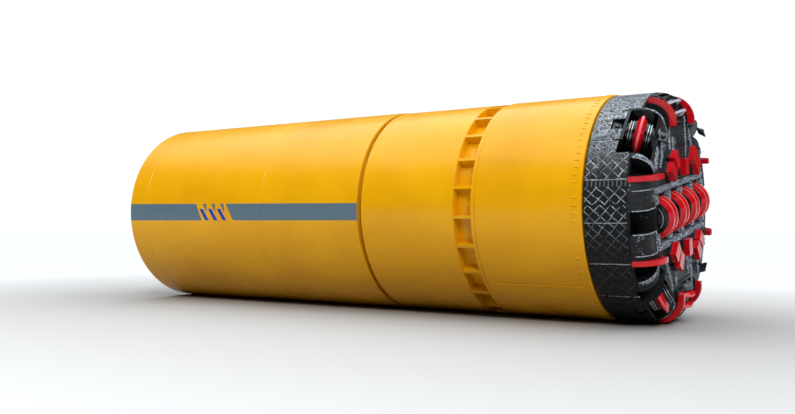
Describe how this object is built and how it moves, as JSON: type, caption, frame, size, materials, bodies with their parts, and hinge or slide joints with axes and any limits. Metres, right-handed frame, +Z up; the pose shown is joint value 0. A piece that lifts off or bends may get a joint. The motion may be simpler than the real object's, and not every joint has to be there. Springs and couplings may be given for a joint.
{
  "type": "tunnel boring machine",
  "caption": "Pipe-jacking tunnel boring machine for rock: round shield cans with a steering joint and a turning cutterhead with disc cutters, arc bars and scrapers.",
  "frame": {"origin": "on the floor under the middle of the machine's length and width", "axes": "+X towards the cutterhead along the machine's axis, +Y to its left, +Z up"},
  "size_m": [3.685, 1.224, 1.224],
  "materials": {
    "yellow_paint": "gloss",
    "dark_seal": "matte",
    "black_paint": "satin",
    "hardfaced_steel": "rough",
    "red_paint": "gloss",
    "cutter_red": "gloss",
    "bright_steel": "satin",
    "frame_paint": "satin",
    "machine_blue": "satin",
    "pipe_steel": "satin",
    "tread_plate": "satin",
    "target_case": "satin"
  },
  "bodies": {
    "rear_cans": {"tail_collar": "yellow_paint", "tail_can": "yellow_paint", "steering_can": "yellow_paint", "thrust_ring": "frame_paint", "cylinder_frame": "frame_paint", "steering_barrels": "machine_blue", "feed_pipe": "pipe_steel", "return_pipe": "pipe_steel", "pipe_saddles": "frame_paint", "walkway": "tread_plate", "control_cabinet": "machine_blue", "power_pack": "machine_blue", "laser_target": "target_case"},
    "steering_ring": {"articulation_ring": "dark_seal"},
    "front_cans": {"middle_can": "yellow_paint", "joint_frame": "frame_paint", "rod_clevises": "frame_paint", "bolt_pocket_ring": "yellow_paint", "front_shield": "yellow_paint", "skid_plates": "yellow_paint", "bulkhead": "frame_paint", "bearing_housing": "frame_paint", "main_drive": "machine_blue"},
    "cutterhead": {"drum": "black_paint", "wear_plates": "hardfaced_steel", "face_plate": "black_paint", "centre_beams": "hardfaced_steel", "centre_partitions": "black_paint", "face_housings": "black_paint", "gauge_housings": "black_paint", "head_hub": "black_paint", "head_arms": "black_paint", "arc_carriers": "black_paint", "arc_bars": "red_paint", "scraper_holders": "black_paint", "scraper_bits": "red_paint", "cutter_shafts": "bright_steel"},
    "steering_rod_left": {"steering_rod_left": "bright_steel"},
    "steering_rod_top": {"steering_rod_top": "bright_steel"},
    "steering_rod_right": {"steering_rod_right": "bright_steel"},
    "steering_rod_bottom": {"steering_rod_bottom": "bright_steel"},
    "centre_cutter_1": {"centre_cutter_1": "cutter_red"},
    "centre_cutter_2": {"centre_cutter_2": "cutter_red"},
    "centre_cutter_3": {"centre_cutter_3": "cutter_red"},
    "centre_cutter_4": {"centre_cutter_4": "cutter_red"},
    "face_cutter_1": {"face_cutter_1": "cutter_red"},
    "face_cutter_2": {"face_cutter_2": "cutter_red"},
    "gauge_cutter_1": {"gauge_cutter_1": "cutter_red"},
    "gauge_cutter_2": {"gauge_cutter_2": "cutter_red"},
    "gauge_cutter_3": {"gauge_cutter_3": "cutter_red"},
    "gauge_cutter_4": {"gauge_cutter_4": "cutter_red"}
  },
  "joints": [
    {"name": "steering_yaw", "type": "hinge", "parent": "rear_cans", "child": "steering_ring", "pos_m": [0.1295, 0, 0.612], "axis": [0, 0, 1], "range_deg": [-1.5, 1.5]},
    {"name": "steering_pitch", "type": "hinge", "parent": "steering_ring", "child": "front_cans", "pos_m": [0.1295, 0, 0.612], "axis": [0, 1, 0], "range_deg": [-1.5, 1.5]},
    {"name": "cutterhead_spin", "type": "hinge", "parent": "front_cans", "child": "cutterhead", "pos_m": [1.4665, 0, 0.612], "axis": [1, 0, 0], "continuous": true},
    {"name": "rod_left_slide", "type": "slide", "parent": "rear_cans", "child": "steering_rod_left", "axis": [1, 0, 0], "range_m": [-0.0145, 0.0145]},
    {"name": "rod_top_slide", "type": "slide", "parent": "rear_cans", "child": "steering_rod_top", "axis": [1, 0, 0], "range_m": [-0.0145, 0.0145]},
    {"name": "rod_right_slide", "type": "slide", "parent": "rear_cans", "child": "steering_rod_right", "axis": [1, 0, 0], "range_m": [-0.0145, 0.0145]},
    {"name": "rod_bottom_slide", "type": "slide", "parent": "rear_cans", "child": "steering_rod_bottom", "axis": [1, 0, 0], "range_m": [-0.0145, 0.0145]},
    {"name": "centre_cutter_1_spin", "type": "hinge", "parent": "cutterhead", "child": "centre_cutter_1", "pos_m": [1.7325, -0.31471, 0.55598], "axis": [0, 0.9895, 0.1444], "continuous": true},
    {"name": "centre_cutter_2_spin", "type": "hinge", "parent": "cutterhead", "child": "centre_cutter_2", "pos_m": [1.7325, -0.10394, 0.58673], "axis": [0, 0.9895, 0.1444], "continuous": true},
    {"name": "centre_cutter_3_spin", "type": "hinge", "parent": "cutterhead", "child": "centre_cutter_3", "pos_m": [1.7325, 0.10683, 0.61748], "axis": [0, 0.9895, 0.1444], "continuous": true},
    {"name": "centre_cutter_4_spin", "type": "hinge", "parent": "cutterhead", "child": "centre_cutter_4", "pos_m": [1.7325, 0.3176, 0.64823], "axis": [0, 0.9895, 0.1444], "continuous": true},
    {"name": "face_cutter_1_spin", "type": "hinge", "parent": "cutterhead", "child": "face_cutter_1", "pos_m": [1.7135, -0.07074, 1.09687], "axis": [0.3907, 0.1329, -0.9109], "continuous": true},
    {"name": "face_cutter_2_spin", "type": "hinge", "parent": "cutterhead", "child": "face_cutter_2", "pos_m": [1.7145, 0.06842, 0.14297], "axis": [0.225, -0.1407, 0.9642], "continuous": true},
    {"name": "gauge_cutter_1_spin", "type": "hinge", "parent": "cutterhead", "child": "gauge_cutter_1", "pos_m": [1.7245, 0.227, 1.0575], "axis": [0.848, -0.2406, -0.4722], "continuous": true},
    {"name": "gauge_cutter_2_spin", "type": "hinge", "parent": "cutterhead", "child": "gauge_cutter_2", "pos_m": [1.6825, -0.38421, 0.95794], "axis": [0.9304, 0.2724, -0.2452], "continuous": true},
    {"name": "gauge_cutter_3_spin", "type": "hinge", "parent": "cutterhead", "child": "gauge_cutter_3", "pos_m": [1.7245, -0.227, 0.1665], "axis": [0.848, 0.2406, 0.4722], "continuous": true},
    {"name": "gauge_cutter_4_spin", "type": "hinge", "parent": "cutterhead", "child": "gauge_cutter_4", "pos_m": [1.6825, 0.38421, 0.26606], "axis": [0.9304, -0.2724, 0.2452], "continuous": true}
  ],
  "couplings": [
    {"joint": "rod_left_slide", "follows": "steering_yaw", "m_per_rad": -0.49},
    {"joint": "rod_top_slide", "follows": "steering_pitch", "m_per_rad": 0.49},
    {"joint": "rod_right_slide", "follows": "steering_yaw", "m_per_rad": 0.49},
    {"joint": "rod_bottom_slide", "follows": "steering_pitch", "m_per_rad": -0.49}
  ]
}
